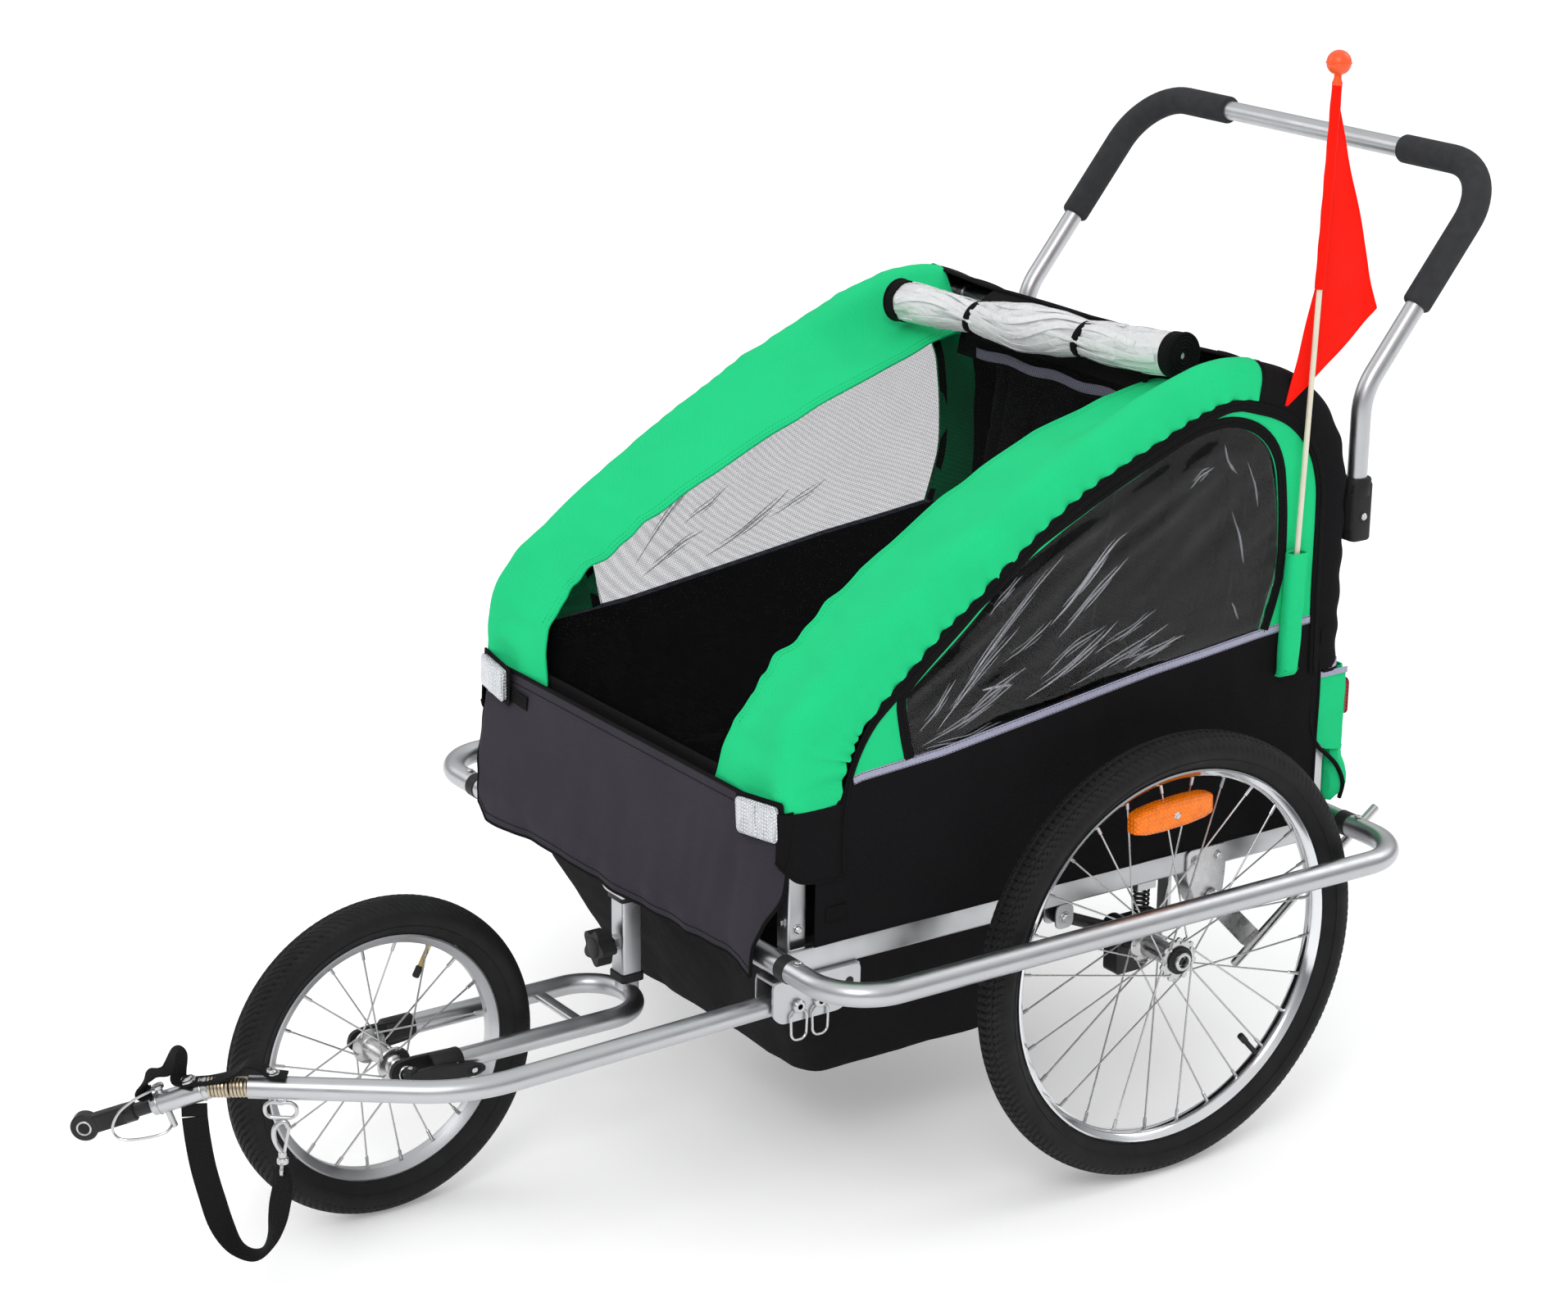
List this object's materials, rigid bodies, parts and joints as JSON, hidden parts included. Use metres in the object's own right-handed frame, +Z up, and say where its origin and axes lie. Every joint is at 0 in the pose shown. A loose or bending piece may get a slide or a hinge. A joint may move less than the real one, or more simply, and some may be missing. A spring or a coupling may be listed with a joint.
{
  "type": "child bicycle trailer",
  "caption": "Two-seat child bicycle trailer with spoked wheels, swing-arm suspension, front jogging wheel, tow arm with sprung coupling, push handle, fabric body, roll-up cover and safety flag.",
  "frame": {"origin": "on the ground below the middle of the trailer's length and width", "axes": "+Z up, +Y towards the push handle at the rear, +X towards the trailer's left side as seated, where the tow arm, the brake and the flag are"},
  "size_m": [0.8554, 1.614, 1.179],
  "materials": {
    "aluminium": "satin drawn tube",
    "steel": "bright zinc plate",
    "chrome": "mirror chrome plate",
    "black_paint": "black powder coat",
    "black_plastic": "moulded, fine texture",
    "foam": "soft closed-cell foam sleeve",
    "tyre": "moulded tread",
    "green_fabric": "coated woven polyester",
    "black_fabric": "coated woven polyester with piping",
    "black_mesh": "padded mesh and woven cover",
    "film": "clear flexible film, rolled",
    "reflector": "prismatic reflector",
    "pole": "glass-fibre rod",
    "flag": "thin nylon",
    "webbing": "woven webbing"
  },
  "bodies": {
    "frame": {"left_side_rail": "aluminium", "right_side_rail": "aluminium", "front_cross_tube": "aluminium", "rear_cross_tube": "aluminium", "left_bumper": "aluminium", "right_bumper": "aluminium", "left_arch_frame": "aluminium", "right_arch_frame": "aluminium", "roof_cross_tube": "aluminium", "tow_arm": "aluminium", "left_suspension_spring": "steel", "right_suspension_spring": "steel", "brake_bracket": "steel", "snap_hook": "steel", "left_handle_bracket": "black_plastic", "right_handle_bracket": "black_plastic", "left_arch_cover": "green_fabric", "right_arch_cover": "green_fabric", "rear_storage_bag": "green_fabric", "roof_cover": "black_fabric", "left_side_panel": "black_fabric", "right_side_panel": "black_fabric", "front_skirt": "black_fabric", "footwell_and_floor": "black_fabric", "seat_cushion": "black_mesh", "seat_back": "black_mesh", "cover_roll": "film", "left_front_reflector": "reflector", "right_front_reflector": "reflector", "safety_strap": "webbing"},
    "left_swing_arm": {"left_swing_arm": "black_paint"},
    "right_swing_arm": {"right_swing_arm": "black_paint"},
    "left_wheel": {"left_tyre": "tyre", "left_rim": "chrome", "left_hub_and_spokes": "steel"},
    "right_wheel": {"right_tyre": "tyre", "right_rim": "chrome", "right_hub_and_spokes": "steel"},
    "left_axle_button": {"left_axle_button": "black_plastic"},
    "right_axle_button": {"right_axle_button": "black_plastic"},
    "front_fork": {"front_fork": "aluminium"},
    "front_wheel": {"front_tyre": "tyre", "front_rim": "aluminium", "front_hub_and_spokes": "steel"},
    "release_lever": {"release_lever": "black_plastic"},
    "clamp_knob": {"clamp_knob": "black_plastic"},
    "handlebar": {"handlebar": "aluminium", "left_grip": "foam", "right_grip": "foam"},
    "left_handle_lock_button": {"left_handle_lock_button": "steel"},
    "right_handle_lock_button": {"right_handle_lock_button": "steel"},
    "brake_pedal": {"brake_pedal": "steel"},
    "tow_pin_front": {"tow_pin_front": "steel"},
    "tow_pin_rear": {"tow_pin_rear": "steel"},
    "coupling": {"coupling_spring": "steel"},
    "hitch": {"hitch_sleeve": "aluminium", "hitch_tongue": "black_paint"},
    "hitch_pin": {"hitch_pin": "steel"},
    "flag": {"flag_pole": "pole", "flag": "flag"}
  },
  "joints": [
    {"name": "left_suspension", "type": "hinge", "parent": "frame", "child": "left_swing_arm", "pos_m": [0.2835, 0.22407, 0.28], "axis": [1, 0, 0], "range_deg": [0, 7], "stiffness_Nm_per_rad": 90, "springref_deg": -7.62, "deforming": ["left_suspension_spring"]},
    {"name": "left_wheel_spin", "type": "hinge", "parent": "left_swing_arm", "child": "left_wheel", "pos_m": [0.371, 0.30407, 0.2475], "axis": [1, 0, 0], "continuous": true},
    {"name": "left_axle_button_press", "type": "slide", "parent": "left_swing_arm", "child": "left_axle_button", "axis": [-1, 0, 0], "range_m": [0, 0.004], "stiffness_N_per_m": 300},
    {"name": "right_suspension", "type": "hinge", "parent": "frame", "child": "right_swing_arm", "pos_m": [-0.2835, 0.22407, 0.28], "axis": [1, 0, 0], "range_deg": [0, 7], "stiffness_Nm_per_rad": 90, "springref_deg": -7.62, "deforming": ["right_suspension_spring"]},
    {"name": "right_wheel_spin", "type": "hinge", "parent": "right_swing_arm", "child": "right_wheel", "pos_m": [-0.371, 0.30407, 0.2475], "axis": [1, 0, 0], "continuous": true},
    {"name": "right_axle_button_press", "type": "slide", "parent": "right_swing_arm", "child": "right_axle_button", "axis": [1, 0, 0], "range_m": [0, 0.004], "stiffness_N_per_m": 300},
    {"name": "fork_height", "type": "slide", "parent": "frame", "child": "front_fork", "axis": [0, 0, 1], "range_m": [-0.085, 0]},
    {"name": "front_wheel_spin", "type": "hinge", "parent": "front_fork", "child": "front_wheel", "pos_m": [0, -0.43993, 0.174], "axis": [1, 0, 0], "continuous": true},
    {"name": "release_lever_flip", "type": "hinge", "parent": "front_fork", "child": "release_lever", "pos_m": [0.063, -0.43993, 0.174], "axis": [0, 0, -1], "range_deg": [0, 90]},
    {"name": "clamp_knob_turn", "type": "hinge", "parent": "frame", "child": "clamp_knob", "pos_m": [0, -0.17593, 0.235], "axis": [0, -1, 0], "range_deg": [0, 720]},
    {"name": "handlebar_lift", "type": "slide", "parent": "frame", "child": "handlebar", "axis": [0, 0, 1], "range_m": [0, 0.045]},
    {"name": "left_handle_lock_press", "type": "slide", "parent": "frame", "child": "left_handle_lock_button", "axis": [-1, 0, 0], "range_m": [0, 0.003], "stiffness_N_per_m": 400},
    {"name": "right_handle_lock_press", "type": "slide", "parent": "frame", "child": "right_handle_lock_button", "axis": [1, 0, 0], "range_m": [0, 0.003], "stiffness_N_per_m": 400},
    {"name": "brake_pedal_press", "type": "hinge", "parent": "frame", "child": "brake_pedal", "pos_m": [0.3, 0.42607, 0.262], "axis": [1, 0, 0], "range_deg": [-15, 0]},
    {"name": "tow_pin_front_pull", "type": "slide", "parent": "frame", "child": "tow_pin_front", "axis": [1, 0, 0], "range_m": [0, 0.05]},
    {"name": "tow_pin_rear_pull", "type": "slide", "parent": "frame", "child": "tow_pin_rear", "axis": [1, 0, 0], "range_m": [0, 0.05]},
    {"name": "coupling_yaw", "type": "hinge", "parent": "frame", "child": "coupling", "pos_m": [0.15543, -0.664, 0.257], "axis": [0, 0, 1], "range_deg": [-30, 30], "stiffness_Nm_per_rad": 12},
    {"name": "coupling_pitch", "type": "hinge", "parent": "coupling", "child": "hitch", "pos_m": [0.13249, -0.69422, 0.25501], "axis": [0.7965, -0.6046, 0], "range_deg": [-30, 12], "stiffness_Nm_per_rad": 12},
    {"name": "hitch_pin_pull", "type": "slide", "parent": "hitch", "child": "hitch_pin", "axis": [-0.2068, -0.2724, 0.9397], "range_m": [0, 0.05]},
    {"name": "flag_pole_lift", "type": "slide", "parent": "frame", "child": "flag", "axis": [0, 0.0362, 0.9993], "range_m": [0, 0.125]}
  ]
}
